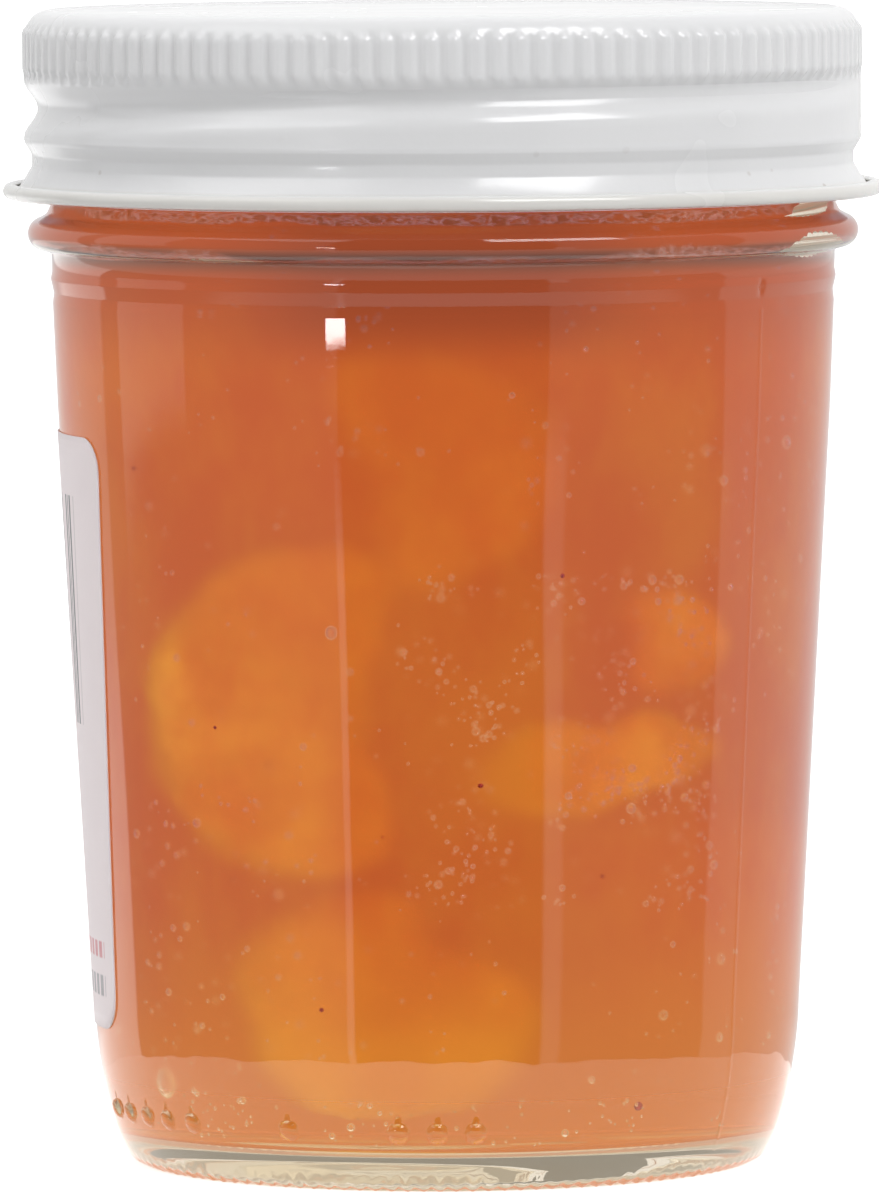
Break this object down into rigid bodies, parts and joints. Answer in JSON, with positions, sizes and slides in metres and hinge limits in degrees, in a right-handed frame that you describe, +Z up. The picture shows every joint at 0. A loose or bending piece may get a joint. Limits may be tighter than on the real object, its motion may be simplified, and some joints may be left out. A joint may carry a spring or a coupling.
{
  "type": "preserving jar",
  "caption": "Small tapered glass preserving jar with a knurled metal screw lid, a sealing ring, a blank paper label and a filling of peach slices set in jelly.",
  "frame": {"origin": "centre of the foot, on the plane the jar stands on", "axes": "+Z up along the jar's axis, -Y towards the front, +X to the right seen from the front; the label is on the -X side"},
  "size_m": [0.0752, 0.0752, 0.0987],
  "materials": {
    "glass": "clear, faintly green-grey",
    "lid_enamel": "glossy white enamel on tinplate",
    "liner": "soft satin sealing compound",
    "label": "matt coated paper",
    "jelly": "clear orange set jelly",
    "peach": "soft cooked fruit"
  },
  "bodies": {
    "jar": {"glass_jar": "glass", "paper_label": "label", "jelly": "jelly", "peach_slice_1": "peach", "peach_slice_2": "peach", "peach_slice_3": "peach", "peach_slice_4": "peach", "peach_slice_5": "peach", "peach_slice_6": "peach", "peach_slice_7": "peach"},
    "liner": {"sealing_liner": "liner"},
    "cap": {"screw_cap": "lid_enamel"}
  },
  "joints": [
    {"name": "cap_rise", "type": "slide", "parent": "jar", "child": "liner", "axis": [0, 0, 1], "range_m": [0, 0.01693]},
    {"name": "cap_turn", "type": "hinge", "parent": "liner", "child": "cap", "pos_m": [0, 0, 0.09], "axis": [0, 0, 1], "range_deg": [0, 1440]}
  ],
  "couplings": [
    {"joint": "cap_rise", "follows": "cap_turn", "m_per_rad": 0.00067322}
  ]
}
